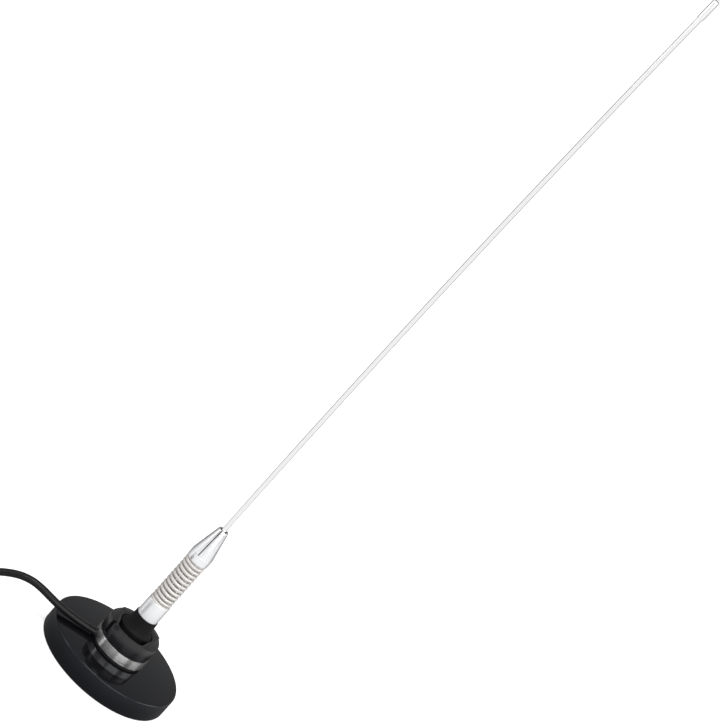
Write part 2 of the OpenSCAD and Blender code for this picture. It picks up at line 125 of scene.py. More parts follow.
def around(centre, radius, degrees, height):
    a = radians(degrees)
    return Vector((centre.x + radius * cos(a), centre.y + radius * sin(a), height))


def coil_line(per_turn=48, step_from=300, bulge=1.5):
    """Layers wound inwards and outwards in turn, each climbing onto the last."""
    points = []
    for n, height in enumerate(coil_levels):
        rows = coil_radii if n % 2 == 0 else coil_radii[::-1]
        for k, radius in enumerate(rows):
            for i in range(per_turn):
                angle = 360 * i / per_turn
                f = max(0, (angle - step_from) / (360 - step_from))
                r, z = radius, height
                if k < len(rows) - 1:
                    r += (rows[k + 1] - radius) * f
                else:
                    z += CABLE_D * f
                    r += bulge * sin(pi * f) * (1 if radius > MEAN_RADIUS else -1)
                points.append(around(COIL_CENTRE, r, 90 + angle, z))
    return points


print("turns in the coil:", len(coil_radii) * len(coil_levels))

# %% The cable's end: half round the top of the coil, then a bend into the plug
TOP_TURN, PLUG_Z, BEND_R = coil_levels[-1] + CABLE_D, 29.1, 23.0
bend_centre = COIL_CENTRE + Vector((BEND_R - coil_radii[0], -1, 0))
lead_out = [around(COIL_CENTRE, coil_radii[0], a, TOP_TURN) for a in range(90, 180, 8)]
for a in range(180, 271, 6):
    rise = (1 - cos(radians(2 * (a - 180)))) / 2
    lead_out.append(around(bend_centre, BEND_R, a, TOP_TURN + (PLUG_Z - TOP_TURN) * rise))
lead_out.append(lead_out[-1] + Vector((4, 0, 0)))
cable_line = lead_in[:-1] + coil_line() + lead_out
print("whole cable:", round(length_of(cable_line) / 1000, 2), "m,", len(cable_line), "points")

# %% [markdown]
# ## A round tube along a line
# A curve with a bevel would do, but a mesh made ring by ring can carry a map
# of its own: how far along and how far round each face is. The jacket's grain
# follows that map. Each ring is the last one turned by as little as the line
# turns, so the tube never twists.

# %% Helper: a new object
def new_object(name, data):
    """An object in the scene from a mesh or a light."""
    made = bpy.data.objects.new(name, data)
    scene.collection.objects.link(made)
    return made


def shade(mesh, degrees):
    """Smooth shading, but sharp where an edge turns by more than these degrees."""
    mesh.shade_smooth()
    mesh.set_sharp_from_angle(angle=radians(degrees))


# %% Helper: a tube, ring by ring
def rings_along(line, sides, radius_at):
    """One ring of points at each point of a line, without twist."""
    side, rings = None, []
    for i, p in enumerate(line):
        ahead = (line[min(i + 1, len(line) - 1)] - line[max(i - 1, 0)]).normalized()
        if side is None:
            side = ahead.orthogonal()
        side = (side - ahead * side.dot(ahead)).normalized()
        up = ahead.cross(side)
        r = radius_at(i)
        rings.append([p + (side * cos(t) + up * sin(t)) * r
                      for t in [2 * pi * k / sides for k in range(sides)]])
    return rings


def tube(name, line, radius, sides=16):
    """A closed tube in millimetres along a line, with a map along and round it."""
    rings = rings_along(line, sides, radius if callable(radius) else (lambda i: radius))
    verts = [v * MM for ring in rings for v in ring]
    faces, uvs, run = [], [], 0.0
    for i in range(len(rings) - 1):
        step = (line[i + 1] - line[i]).length
        for k in range(sides):
            n = (k + 1) % sides
            faces.append([i * sides + k, i * sides + n, (i + 1) * sides + n, (i + 1) * sides + k])
            uvs += [(run, k / sides), (run, (k + 1) / sides),
                    (run + step, (k + 1) / sides), (run + step, k / sides)]
        run += step
    faces.append(range(sides - 1, -1, -1))
    faces.append(range(len(verts) - sides, len(verts)))
    uvs += [(0, k / sides) for k in range(sides - 1, -1, -1)]
    uvs += [(run, k / sides) for k in range(sides)]
    mesh = bpy.data.meshes.new(name)
    mesh.from_pydata(verts, [], faces)
    layer = mesh.uv_layers.new(name="along_and_round")
    for loop, uv in zip(layer.data, uvs):
        loop.uv = uv
    shade(mesh, 50)
    return new_object(name, mesh)


# %% The cable itself
coax = tube("coax_cable", cable_line, CABLE_D / 2, 16)
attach(coax, "base")
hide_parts("cable", "cable_coil", "cable_tail")
print("cable faces:", len(coax.data.polygons))

# %% [markdown]
# ## Materials from nodes
# A finish is more than a colour. Noise in the object's own millimetres gives
# it spots, streaks and a faint unevenness in gloss, and a bump gives it grain.
# The helper below adds a node, sets its sockets and links what is linkable,
# so that each finish is only a few lines.

# %% Helper: nodes
def add(tree, kind, inputs=None, **settings):
    """Add a node; a socket as a value is linked, anything else is set."""
    node = tree.nodes.new(kind)
    for key, value in settings.items():
        setattr(node, key, value)
    for key, value in (inputs or {}).items():
        if isinstance(value, bpy.types.NodeSocket):
            tree.links.new(value, node.inputs[key])
        else:
            node.inputs[key].default_value = value
    return node


def calc(tree, operation, *values):
    """Arithmetic on numbers or sockets; gives the result's socket."""
    return add(tree, "ShaderNodeMath", dict(enumerate(values)), operation=operation).outputs[0]


def vector_of(tree, **parts):
    """A vector from its parts, such as Z=height."""
    return add(tree, "ShaderNodeCombineXYZ", parts).outputs[0]


def place_of(tree):
    """Where a point lies in the object, in metres."""
    return add(tree, "ShaderNodeTexCoord").outputs["Object"]


# %% Helper: a finish
def new_finish(name, colour, metal, rough, **more):
    """A material with a Principled shader; returns it with its tree and shader."""
    mat = bpy.data.materials.new(name)
    mat.use_nodes = True
    shader = mat.node_tree.nodes["Principled BSDF"]
    shader.inputs["Base Color"].default_value = (*colour, 1)
    shader.inputs["Metallic"].default_value = metal
    shader.inputs["Roughness"].default_value = rough
    for key, value in more.items():
        shader.inputs[key.replace("_", " ")].default_value = value
    mat.diffuse_color = (*colour, 1)
    return mat, mat.node_tree, shader


# %% Helper: patterns
def noise(tree, per_mm, stretch=(1, 1, 1), detail=3.0, source="Object"):
    """Cloudy values from 0 to 1, with about so many spots to a millimetre."""
    where = add(tree, "ShaderNodeTexCoord").outputs[source]
    unit = 1 / MM if source == "Object" else 1
    place = add(tree, "ShaderNodeMapping", {"Vector": where,
                "Scale": [s * per_mm * unit for s in stretch]})
    return add(tree, "ShaderNodeTexNoise", {"Vector": place.outputs[0], "Scale": 1.0,
               "Detail": detail, "Roughness": 0.55}).outputs["Fac"]


def spread(tree, value, low, high, start=0.3, end=0.7):
    """Turn the middle of a pattern's values into low to high."""
    return add(tree, "ShaderNodeMapRange", {"Value": value, "From Min": start,
               "From Max": end, "To Min": low, "To Max": high}).outputs["Result"]


def between(tree, share, low, high):
    """From low to high as the share goes from 0 to 1."""
    return spread(tree, share, low, high, 0.0, 1.0)


def two_tone(tree, value, dark, light):
    """Mix two colours by a pattern."""
    return add(tree, "ShaderNodeMix", {"Factor": value, "A": (*dark, 1), "B": (*light, 1)},
               data_type="RGBA").outputs["Result"]


# %% Helper: grain, links and wear
def lead(node, **patterns):
    """Lead patterns into a node's sockets, such as Roughness=spots."""
    for key, value in patterns.items():
        node.id_data.links.new(value, node.inputs[key.replace("_", " ")])


def grain(tree, shader, height, depth_mm, strength=0.4):
    """A bump of so many millimetres."""
    bump = add(tree, "ShaderNodeBump", {"Height": height, "Strength": strength,
               "Distance": depth_mm * MM})
    lead(shader, Normal=bump.outputs["Normal"])


def wear(piece_or_node, finish):
    """Give a piece or a shown solid its finish."""
    mesh = piece_or_node.data
    mesh.materials.clear()
    mesh.materials.append(finish)


# %% The cable's jacket
def jacket_finish():
    mat, tree, shader = new_finish("cable_jacket", (0.007, 0.007, 0.008), 0, 0.34,
                                   Specular_IOR_Level=0.22)
    wave = noise(tree, 0.35, (1, 0.4, 1), 2, "UV")
    lead(shader, Roughness=spread(tree, wave, 0.28, 0.4), Base_Color=two_tone(
        tree, noise(tree, 0.08), (0.005, 0.005, 0.006), (0.009, 0.009, 0.0105)))
    grain(tree, shader, noise(tree, 2.2, (0.25, 1, 1), 4), 0.02, 0.5)
    return mat


jacket = jacket_finish()
wear(coax, jacket)
print("finish:", jacket.name)

# %% [markdown]
# ## Turned pieces
# Most of this antenna is turned on a lathe, so most of it is a profile spun
# round the axis. Real edges are never sharp: a third number in a profile's
# point is the radius of the arc that replaces its corner, and that arc is what
# catches the light.

# %% Helper: a profile with rounded corners
def rounded(profile, steps=4):
    """Replace each corner that has a third number by an arc of that radius."""
    out, n = [], len(profile)
    for i, p in enumerate(profile):
        here = Vector(p[:2])
        if len(p) < 3:
            out.append(here)
            continue
        a = Vector(profile[i - 1][:2]) - here
        b = Vector(profile[(i + 1) % n][:2]) - here
        half = a.angle(b) / 2
        cut = min(p[2] / math.tan(half), 0.48 * a.length, 0.48 * b.length)
        a.normalize()
        b.normalize()
        centre = here + (a + b).normalized() * (cut / cos(half))
        u, v = here + a * cut - centre, here + b * cut - centre
        whole = u.angle(v)
        for s in range(steps + 1):
            t = s / steps
            out.append(centre + (u * sin((1 - t) * whole) + v * sin(t * whole))
                       / sin(whole))
    return out


# %% Helper: the lathe
def from_bmesh(bm, name, degrees=0):
    """A new piece from a finished bmesh, shaded smooth if degrees are given."""
    mesh = bpy.data.meshes.new(name)
    bm.to_mesh(mesh)
    bm.free()
    if degrees:
        shade(mesh, degrees)
    return new_object(name, mesh)


def lathe(name, profile, segments=144, place=None):
    """Spin a closed profile of (radius, height) in millimetres round the axis."""
    points = rounded(profile)
    bm = bmesh.new()
    rows = []
    for r, z in points:
        if r < 1e-4:
            rows.append([bm.verts.new((0, 0, z * MM))] * segments)
        else:
            rows.append([bm.verts.new((r * MM * cos(t), r * MM * sin(t), z * MM))
                         for t in [2 * pi * k / segments for k in range(segments)]])
    for low, high in zip(rows, rows[1:] + rows[:1]):
        for k in range(segments):
            n = (k + 1) % segments
            corners = []
            for v in (low[k], low[n], high[n], high[k]):
                if v not in corners:
                    corners.append(v)
            if len(corners) > 2:
                bm.faces.new(corners)
    bmesh.ops.recalc_face_normals(bm, faces=bm.faces)
    if place is not None:
        bm.transform(place)
    return from_bmesh(bm, name, 32)


# %% Helper: body, finish and solids of a piece
def settle(piece, body, finish, slot, *nodes):
    """A finished piece: its body, its finish and the solids that it stands for."""
    wear(piece, finish)
    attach(piece, body)
    if nodes:
        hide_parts(*nodes)
    print(piece.name, len(piece.data.polygons), "faces")


# %% [markdown]
# ## The base: paint that is glossy on top and matt round the side
# The cover of the magnet is a pressed steel cup, painted black. Its flat top
# is polished like a mirror, so the ring and the cable show in it. The side is
# duller, with a fine texture. One material does both: the height above the
# floor picks the roughness.

# %% The base's cover and its black paint
def cover_finish():
    mat, tree, shader = new_finish("cover_black_paint", (0.004, 0.004, 0.005), 0, 0.09,
                                   Specular_IOR_Level=0.32, Specular_Tint=(0.82, 0.89, 1, 1))
    height = add(tree, "ShaderNodeSeparateXYZ", {"Vector": place_of(tree)}).outputs["Z"]
    side = spread(tree, height, 1.0, 0.0, 0.0122, 0.0129)  # from the side to the top
    haze = spread(tree, noise(tree, 0.05), 0.06, 0.1)
    lead(shader, Roughness=between(tree, side, haze, 0.42), Base_Color=two_tone(
        tree, noise(tree, 0.03), (0.0035, 0.0035, 0.0045), (0.0055, 0.0055, 0.0065)))
    grain(tree, shader, calc(tree, "MULTIPLY", noise(tree, 2.5), side), 0.03, 0.3)
    return mat


cover = lathe("base_shell", [(0, 13.1), (44.5, 13.1, 1.0), (44.5, 0.6, 0.3), (42.3, 0.6, 0.3),
                             (42.3, 10.5), (0, 10.5)], 200)
settle(cover, "base", cover_finish(), "cover_paint", "base_cover")


# %% Rubber, and the pad with its grooves
def rubber_finish(name, colour, rough, spots_per_mm, depth, shine=0.3):
    mat, tree, shader = new_finish(name, colour, 0, rough, Specular_IOR_Level=shine)
    lead(shader, Roughness=spread(tree, noise(tree, 0.2), rough - 0.08, rough + 0.06),
         Base_Color=two_tone(tree, noise(tree, 0.12), colour, [c * 1.5 for c in colour]))
    grain(tree, shader, noise(tree, spots_per_mm, detail=5), depth, 0.5)
    return mat


pad_black = rubber_finish("pad_rubber", (0.012, 0.012, 0.012), 0.7, 2.0, 0.05)
grooves = []
for r in (38, 26, 14):
    grooves += [(r + 0.6, 0), (r + 0.4, 0.2), (r - 0.4, 0.2), (r - 0.6, 0)]
pad = lathe("base_pad_grooved", [(0, 0.6), (44.2, 0.6), (44.2, 0, 0.2)] + grooves + [(0, 0)], 160)
settle(pad, "base", pad_black, "pad_rubber", "base_pad")

# %% [markdown]
# ## The ring: brushed metal
# Round the foot of the hub sits a ring of gunmetal, turned with fine lines
# round it. Such lines smear a highlight across themselves: anisotropy in the
# shader, with a tangent that runs round the axis, does it, and a noise that
# changes quickly with height and slowly round the axis draws the lines.

# %% Helper: brushed and polished metals
def turned_metal(name, dark, light, rough, lines_per_mm, depth, aniso=0.5):
    mat, tree, shader = new_finish(name, light, 1, rough, Anisotropic=aniso,
                                   Anisotropic_Rotation=0.25)
    lines = noise(tree, lines_per_mm, (0.04, 0.04, 1), 4)
    lead(shader, Roughness=spread(tree, lines, rough * 0.8, rough * 1.25),
         Base_Color=two_tone(tree, spread(tree, lines, 0, 1), dark, light))
    grain(tree, shader, lines, depth, 0.35)
    tangent = add(tree, "ShaderNodeTangent", direction_type="RADIAL", axis="Z")
    lead(shader, Tangent=tangent.outputs[0])
    return mat


def chrome_finish(name, tint, rough):
    mat, tree, shader = new_finish(name, tint, 1, rough)
    lead(shader, Roughness=spread(tree, noise(tree, 0.15, detail=4), rough * 0.85, rough * 1.2),
         Base_Color=two_tone(tree, noise(tree, 0.05), [c * 0.97 for c in tint], tint))
    grain(tree, shader, noise(tree, 1.2, detail=2), 0.004, 0.15)
    return mat


def satin_metal(name, tint, rough, per_mm=1.5):
    mat, tree, shader = new_finish(name, tint, 1, rough)
    lead(shader, Roughness=spread(tree, noise(tree, 0.4, detail=4), rough * 0.75, rough * 1.3),
         Base_Color=two_tone(tree, noise(tree, 0.3), [c * 0.86 for c in tint], tint))
    grain(tree, shader, noise(tree, per_mm, detail=4), 0.012, 0.3)
    return mat


# %% Helper: cut and round
def plain_mesh(piece):
    """Run a piece's modifiers and keep the mesh that they make."""
    ready = piece.evaluated_get(bpy.context.evaluated_depsgraph_get())
    mesh = bpy.data.meshes.new_from_object(ready)
    piece.modifiers.clear()
    piece.data = mesh
    mesh.name = piece.name
    return mesh


def cut_and_round(piece, cutters, width=0.2, segments=2):
    """Take the cutters out of a piece, then round what edges that left."""
    for cutter in cutters:
        cut = piece.modifiers.new("cut", "BOOLEAN")
        cut.operation, cut.solver, cut.object = "DIFFERENCE", "EXACT", cutter
    if width:
        edge = piece.modifiers.new("edge", "BEVEL")
        edge.width, edge.segments = width * MM, segments
        edge.limit_method, edge.angle_limit = "ANGLE", radians(35)
    shade(plain_mesh(piece), 32)
    for cutter in cutters:
        bpy.data.objects.remove(cutter)


# %% Helper: blocks and places
def block(size, place):
    """A cutter: a box of that size in millimetres, centred, then placed."""
    bm = bmesh.new()
    bmesh.ops.create_cube(bm, size=1)
    bm.transform(Matrix.Diagonal((*[s * MM for s in size], 1)))
    bm.transform(place)
    return from_bmesh(bm, "cutter")


def at(x, y, z):
    """A shift in millimetres."""
    return Matrix.Translation(Vector((x, y, z)) * MM)


def turn(degrees, axis):
    return Matrix.Rotation(radians(degrees), 4, axis)


# %% The ring and the gland in its notch
RING_LOW, RING_TOP = 14.8, 20.9
ring = lathe("hub_ring", [(17.8, RING_LOW), (17.8, RING_TOP), (15.5, RING_TOP),
                          (15.5, RING_LOW)], 180)
notch = lathe("cutter", [(0, 0), (2.85, 0), (2.85, 12), (0, 12)], 48,
              at(-24, 0, EXIT[2]) @ turn(90, "Y"))
cut_and_round(ring, [notch], 0.25, 3)
gunmetal = turned_metal("ring_gunmetal", (0.36, 0.36, 0.36), (0.52, 0.515, 0.505), 0.32,
                        lines_per_mm=3.0, depth=0.01, aniso=1.0)
settle(ring, "base", gunmetal, "ring_steel", "ring")
soft_black = rubber_finish("gland_rubber_black", (0.010, 0.010, 0.011), 0.55, 1.5, 0.03)
gland = lathe("cable_grommet", [(0, 0), (2.75, 0, 0.5), (2.75, 3), (0, 3)], 64,
              at(*EXIT) @ turn(90, "Y"))
settle(gland, "base", soft_black, "gland_rubber", "cable_gland")

# %% [markdown]
# ## The collar: a moulded cup
# The black collar screws onto the mount. It is the hardest form here: a round
# cup with an oblong hollow, two shoulders that slope outwards and two slots
# for a spanner. It starts on the lathe and is then cut, as a mould maker would
# cut it, and a bevel rounds every edge that the cuts leave.

# %% The collar's outside and the way the recess faces
COLLAR_LOW, RIM = 20.9, 32.3
FRONT, SIDES = -112, 81.5  # degrees: the way the recess faces, and its sides from there
collar = lathe("hub_collar", [(17.5, COLLAR_LOW), (17.5, RIM), (0, RIM), (0, 28.0),
                              (14.4, 28.0), (14.4, COLLAR_LOW)], 192)
print("the collar stands", round(RIM - COLLAR_LOW, 1), "mm high")


# %% Helper: the recess as a cutter
def skin(bm, low, high):
    """Four-sided faces between two closed rings of points."""
    n = len(low)
    for k in range(n):
        bm.faces.new([low[k], low[(k + 1) % n], high[(k + 1) % n], high[k]])


def recess_cutter(half=11.2, front=16.4, back=11.5, floor=29.2, above=40, soft=0.4):
    """A prism: round behind the boot, straight along its sides, round in front.

    Seen from the axis, the nearer of side and front is the wall; a soft
    minimum rounds the corner between them.
    """
    outline = []
    for degrees in range(-180, 180, 3):
        reach = back
        if abs(degrees) < 90:
            side = half / cos(radians(abs(degrees) - SIDES))
            inner = -soft * math.log(math.exp(-side / soft) + math.exp(-front / soft))
            reach = max(inner, back)
        t = radians(degrees + FRONT)
        outline.append((reach * cos(t), reach * sin(t)))
    bm = bmesh.new()
    rings = [[bm.verts.new((x * MM, y * MM, z * MM)) for x, y in outline]
             for z in (floor, above)]
    skin(bm, *rings)
    for ring_of_points in rings:
        bm.faces.new(ring_of_points)
    bmesh.ops.recalc_face_normals(bm, faces=bm.faces)
    return from_bmesh(bm, "cutter")


# %% The cuts: the recess, two shoulders, two slots and the thread
cutters = [recess_cutter()]
for side in (-1, 1):
    cutters.append(block((20, 60, 12), turn(FRONT + side * SIDES, "Z")
                         @ at(12.4, 0, RIM - 0.7) @ turn(13, "Y") @ at(10, 0, 6)))
SLOT_LOW = 22.3
for angle, top in ((-158, 34), (22, 28)):
    cutters.append(block((5, 3.2, top - SLOT_LOW),
                         turn(angle, "Z") @ at(17.6, 0, (SLOT_LOW + top) / 2)))
cutters.append(lathe("cutter", [(0, 20), (5.2, 20), (5.2, 30), (0, 30)], 64))
print("cuts in the collar:", len(cutters))
cut_and_round(collar, cutters, 0.3, 2)


# %% The collar's plastic
def collar_finish():
    mat, tree, shader = new_finish("collar_moulded_black", (0.012, 0.012, 0.014), 0, 0.26,
                                   Specular_IOR_Level=0.5)
    lead(shader, Roughness=spread(tree, noise(tree, 0.25, detail=4), 0.2, 0.3),
         Base_Color=two_tone(tree, noise(tree, 0.1), (0.008, 0.008, 0.0095),
                             (0.013, 0.013, 0.015)))
    grain(tree, shader, noise(tree, 3.0, detail=5), 0.02, 0.35)
    return mat


settle(collar, "base", collar_finish(), "collar_plastic", "collar")

# %% [markdown]
# ## The boot: soft rubber
# A rubber cone keeps water out of the hub. Its side is hollow, like the foot
# of a wine glass, and it thins to a lip round the ferrule. Its profile is a
# quarter of an ellipse, so it can be written as a rule.

# %% The boot
flare = [(7.65 + 3.15 * (1 - cos(t)), 42.7 - 10.4 * sin(t))
         for t in [radians(a) for a in range(6, 91, 6)]]
boot = lathe("rubber_boot", [(7.25, 33.1), (7.25, 42.7, 0.15), (7.65, 42.7, 0.15)] + flare
             + [(10.8, 29.2), (0, 29.2), (0, 33.1)], 144)
boot_black = rubber_finish("boot_rubber_black", (0.004, 0.004, 0.0045), 0.62, 1.6, 0.04, 0.13)
settle(boot, "base", boot_black, "boot_rubber", "boot")

# %% [markdown]
# ## The ferrule: chrome
# The tube between the boot and the spring is polished and plated. Chrome has
# hardly a colour of its own, it shows the room, so its finish is little more
# than a roughness that wavers as plating does. The shank in the hub and the
# spigot in the spring are turned in the same profile, as on the real part.

# %% The chromed ferrule
FERRULE_TOP = 55.2
chrome = chrome_finish("chrome_polished", (0.955, 0.96, 0.975), 0.34)
ferrule = lathe("ferrule_tube", [(0, 26.3), (5, 26.3, 0.3), (5, 33.1), (7.15, 33.1, 0.3),
                                 (7.15, FERRULE_TOP, 0.35), (4.4, FERRULE_TOP),
                                 (4.4, 63.2, 0.4), (0, 63.2)], 128)
settle(ferrule, "base", chrome, "ferrule_chrome", "ferrule")

# %% [markdown]
# ## The spring: Geometry Nodes that follow a rule
# A coil spring is a circle swept along a helix. Geometry Nodes have a spiral
# and a sweep. The turns at its ends lie closer than the others and are ground
# flat, as on a real spring, so the spiral starts flat, each point is lifted by
# the turns behind it, and a plane cuts the ends. It is made as two halves that
# meet in the middle, a lower one and an upper one.

# %% Helper: node trees that build meshes
def new_tree(name, sizes):
    """A tree with named inputs, in metres where they are sizes, and one output."""
    tree = bpy.data.node_groups.new(name, "GeometryNodeTree")
    for label, value in sizes.items():
        kind = "NodeSocketInt" if isinstance(value, int) else "NodeSocketFloat"
        tree.interface.new_socket(label, in_out="INPUT", socket_type=kind).default_value = value
    tree.interface.new_socket("Geometry", in_out="OUTPUT", socket_type="NodeSocketGeometry")
    return tree, tree.nodes.new("NodeGroupInput").outputs


def close_tree(tree, geometry, finish):
    """End a tree with real geometry and its material."""
    smooth = add(tree, "GeometryNodeSetShadeSmooth", {0: geometry})
    real = add(tree, "GeometryNodeRealizeInstances", {0: smooth.outputs[0]})
    painted = add(tree, "GeometryNodeSetMaterial", {"Geometry": real.outputs[0],
                  "Material": finish})
    add(tree, "NodeGroupOutput", {0: painted.outputs[0]})


def raised(tree, geometry, height, **more):
    """Lift geometry to a height; more sets other sockets, such as Rotation."""
    return add(tree, "GeometryNodeTransform", {"Geometry": geometry,
               "Translation": vector_of(tree, Z=height), **more}).outputs[0]


# %% Helper: shapes within a tree
def circle_of(tree, sides, radius):
    return add(tree, "GeometryNodeCurvePrimitiveCircle", {"Resolution": sides,
               "Radius": radius}).outputs[0]


def spiral_of(tree, per_turn, turns, radius, height):
    return add(tree, "GeometryNodeCurveSpiral", {"Resolution": per_turn, "Rotations": turns,
               "Start Radius": radius, "End Radius": radius, "Height": height}).outputs[0]


def swept(tree, curve, sides, radius):
    """A closed tube along a curve."""
    return add(tree, "GeometryNodeCurveToMesh", {"Curve": curve, "Fill Caps": True,
               "Profile Curve": circle_of(tree, sides, radius)}).outputs[0]


def fanned(tree, points, shape, step):
    """A copy of a shape at each point, turned round the axis by one more step each."""
    angle = calc(tree, "MULTIPLY", add(tree, "GeometryNodeInputIndex").outputs[0], step)
    facing = add(tree, "FunctionNodeEulerToRotation", {0: vector_of(tree, Z=angle)}).outputs[0]
    return add(tree, "GeometryNodeInstanceOnPoints", {"Points": points, "Instance": shape,
               "Rotation": facing}).outputs[0]


# %% Helper: run a tree
def build(name, tree, **sizes):
    """Run a tree with these sizes and keep the plain mesh."""
    piece = new_object(name, bpy.data.meshes.new(name))
    maker = piece.modifiers.new("maker", "NODES")
    maker.node_group = tree
    for socket in tree.interface.items_tree:
        if socket.in_out == "INPUT" and socket.name in sizes:
            maker[socket.identifier] = sizes[socket.name]
    plain_mesh(piece)
    return piece


# %% The spring's tree
spring_nickel = satin_metal("spring_nickel", (0.70, 0.68, 0.66), 0.58)
spring_nickel.node_tree.nodes["Principled BSDF"].inputs["Metallic"].default_value = 0.7
TURNS, CLOSED = 13.0, 2.0  # all of them, and those that lie close at each end
tree, size = new_tree("wound_wire", {"coil_radius": 0.00575, "wire_radius": 0.00125,
                      "turns": TURNS, "closed_rise": 0.00255, "open_rise": 0.0030556,
                      "foot": 0.0539, "start_angle": radians(68), "from_share": 0.0,
                      "to_share": 1.0})


def turns_done(tree, turns):
    """How many turns lie behind a point of a spiral."""
    share = add(tree, "GeometryNodeSplineParameter").outputs["Factor"]
    return calc(tree, "MULTIPLY", share, turns)


def rise_of(tree, done, rise, start, end):
    """How far the turns from start to end have lifted the wire."""
    behind = spread(tree, done, 0.0, end - start, start, end)
    return calc(tree, "MULTIPLY", behind, rise)


done = turns_done(tree, size["turns"])
height = rise_of(tree, done, size["closed_rise"], 0.0, CLOSED)
for rise, start, end in ((size["open_rise"], CLOSED, TURNS - CLOSED),
                         (size["closed_rise"], TURNS - CLOSED, TURNS)):
    height = calc(tree, "ADD", height, rise_of(tree, done, rise, start, end))
flat = spiral_of(tree, 48, size["turns"], size["coil_radius"], 0.0)
helix = add(tree, "GeometryNodeSetPosition", {"Geometry": flat,
            "Offset": vector_of(tree, Z=height)})
part = add(tree, "GeometryNodeTrimCurve", {"Curve": helix.outputs[0], "Start":
           size["from_share"], "End": size["to_share"]}, mode="FACTOR")
wire = swept(tree, part.outputs[0], 20, size["wire_radius"])
standing = raised(tree, wire, size["foot"], Rotation=vector_of(tree, Z=size["start_angle"]))
close_tree(tree, standing, spring_nickel)
print("nodes in the spring's tree:", len(tree.nodes))

# %% Two halves, their ends ground flat to seat on ferrule and collet
MIDDLE = 0.07275
COLLET_LOW, HAIR = 90.3, 0.05


def grind(piece, height, keep):
    """Cut a piece flat at this height; keep is 1 for what is above, -1 for below."""
    bm = bmesh.new()
    bm.from_mesh(piece.data)
    bmesh.ops.bisect_plane(bm, geom=bm.verts[:] + bm.edges[:] + bm.faces[:], dist=1e-7,
                           plane_co=(0, 0, height * MM), plane_no=(0, 0, -keep), clear_outer=True)
    bmesh.ops.holes_fill(bm, edges=[e for e in bm.edges if e.is_boundary])
    bm.to_mesh(piece.data)
    bm.free()
    shade(piece.data, 50)
    return piece


low_half = grind(build("spring_lower", tree, to_share=0.5), FERRULE_TOP + HAIR, 1)
high_half = grind(build("spring_upper", tree, from_share=0.5), COLLET_LOW - HAIR, -1)
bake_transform(low_half)
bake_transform(high_half)
for half in (low_half, high_half):
    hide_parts("spring")
    print(half.name, len(half.data.polygons), "faces")

# %% [markdown]
# ## The braid inside the spring
# The current doesn't run through the spring but through a soft copper braid in
# its middle, seen only between the turns. Strands wind both ways: a spiral and
# its mirrored copy weave over and under each other, and instances of that
# pair stand four times round the axis.

# %% The braid's tree
copper = satin_metal("copper_strands", (0.26, 0.17, 0.12), 0.45, 2.5)
tree, size = new_tree("braid", {"foot": 0.0602, "length": 0.01255, "turns": 2.0,
                      "radius": 0.0013, "strand_radius": 0.00028, "weave": 0.00014})
CROSSINGS_A_TURN = 4
spiral = spiral_of(tree, 24, size["turns"], size["radius"], size["length"])
angle = calc(tree, "MULTIPLY", turns_done(tree, size["turns"]), 2 * pi * CROSSINGS_A_TURN)
wave = calc(tree, "COSINE", angle)
spot = add(tree, "GeometryNodeInputPosition").outputs[0]
flat = add(tree, "ShaderNodeVectorMath", {0: spot, 1: (1, 1, 0)}, operation="MULTIPLY")
outward = add(tree, "ShaderNodeVectorMath", {0: flat.outputs[0]}, operation="NORMALIZE")
pair = add(tree, "GeometryNodeJoinGeometry")
for way in (1, -1):
    deep = calc(tree, "MULTIPLY", calc(tree, "MULTIPLY", size["weave"], way), wave)
    push = add(tree, "ShaderNodeVectorMath", {0: outward.outputs[0], "Scale": deep},
               operation="SCALE")
    woven = add(tree, "GeometryNodeSetPosition", {"Geometry": spiral, "Offset": push.outputs[0]})
    mirrored = add(tree, "GeometryNodeTransform", {"Geometry": woven.outputs[0],
                   "Scale": (1, way, 1)})
    strand = swept(tree, mirrored.outputs[0], 6, size["strand_radius"])
    tree.links.new(strand, pair.inputs[0])
four = add(tree, "GeometryNodePoints", {"Count": 4}).outputs[0]
round_axis = fanned(tree, four, pair.outputs[0], pi / 2)
close_tree(tree, raised(tree, round_axis, size["foot"]), copper)
print("nodes in the braid's tree:", len(tree.nodes))

# %% Two lengths of braid
low_braid = build("braid_lower", tree, foot=0.0602)
high_braid = build("braid_upper", tree, foot=MIDDLE)
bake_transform(low_braid)
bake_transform(high_braid)
for half in (low_braid, high_braid):
    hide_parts("braid")
print("braid faces:", len(low_braid.data.polygons) + len(high_braid.data.polygons))

# %% [markdown]
# ## The collet: a chromed cone with a slit
# The collet grips the whip. It is turned, bored and then sawn open on one
# side, so that two small screws at its back can squeeze it on the whip. The
# cut and the bore on the cone get painted shade, a near black where shade
# falls into them: the finish tells them by their place in the piece, and one
# material does it all.

# %% The collet
SLIT_WAY, SLIT_FROM, SLIT_WIDE = -124, 1.3, 0.6
CONE_FOOT, MOUTH = 95.5, 2.0
collet = lathe("whip_collet", [(0, 82.3), (4.4, 82.3, 0.4), (4.4, COLLET_LOW),
                               (7.15, COLLET_LOW, 0.25),
                               (7.15, 95.1, 0.05), (6.85, 95.25), (6.85, 95.6),
                               (7.1, 95.7, 0.05), (3.35, 115.2, 0.25), (MOUTH, 115.2, 0.2),
                               (1.55, 114.2), (1.55, 86.7), (0, 86.7)], 128)
cutters = [block((7.2, SLIT_WIDE, 22),
                 turn(SLIT_WAY, "Z") @ at(SLIT_FROM + 3.6, 0, CONE_FOOT + 11))]
for up in (4, 8.6):
    cutters.append(lathe("cutter", [(0, 0), (1.55, 0), (1.55, 7), (0, 7)], 40,
                         at(0, 0, CONE_FOOT + up) @ turn(SLIT_WAY + 180, "Z")
                         @ turn(90, "Y") @ at(0, 0, 1.2)))
print("cuts in the collet:", len(cutters))
cut_and_round(collet, cutters, 0)


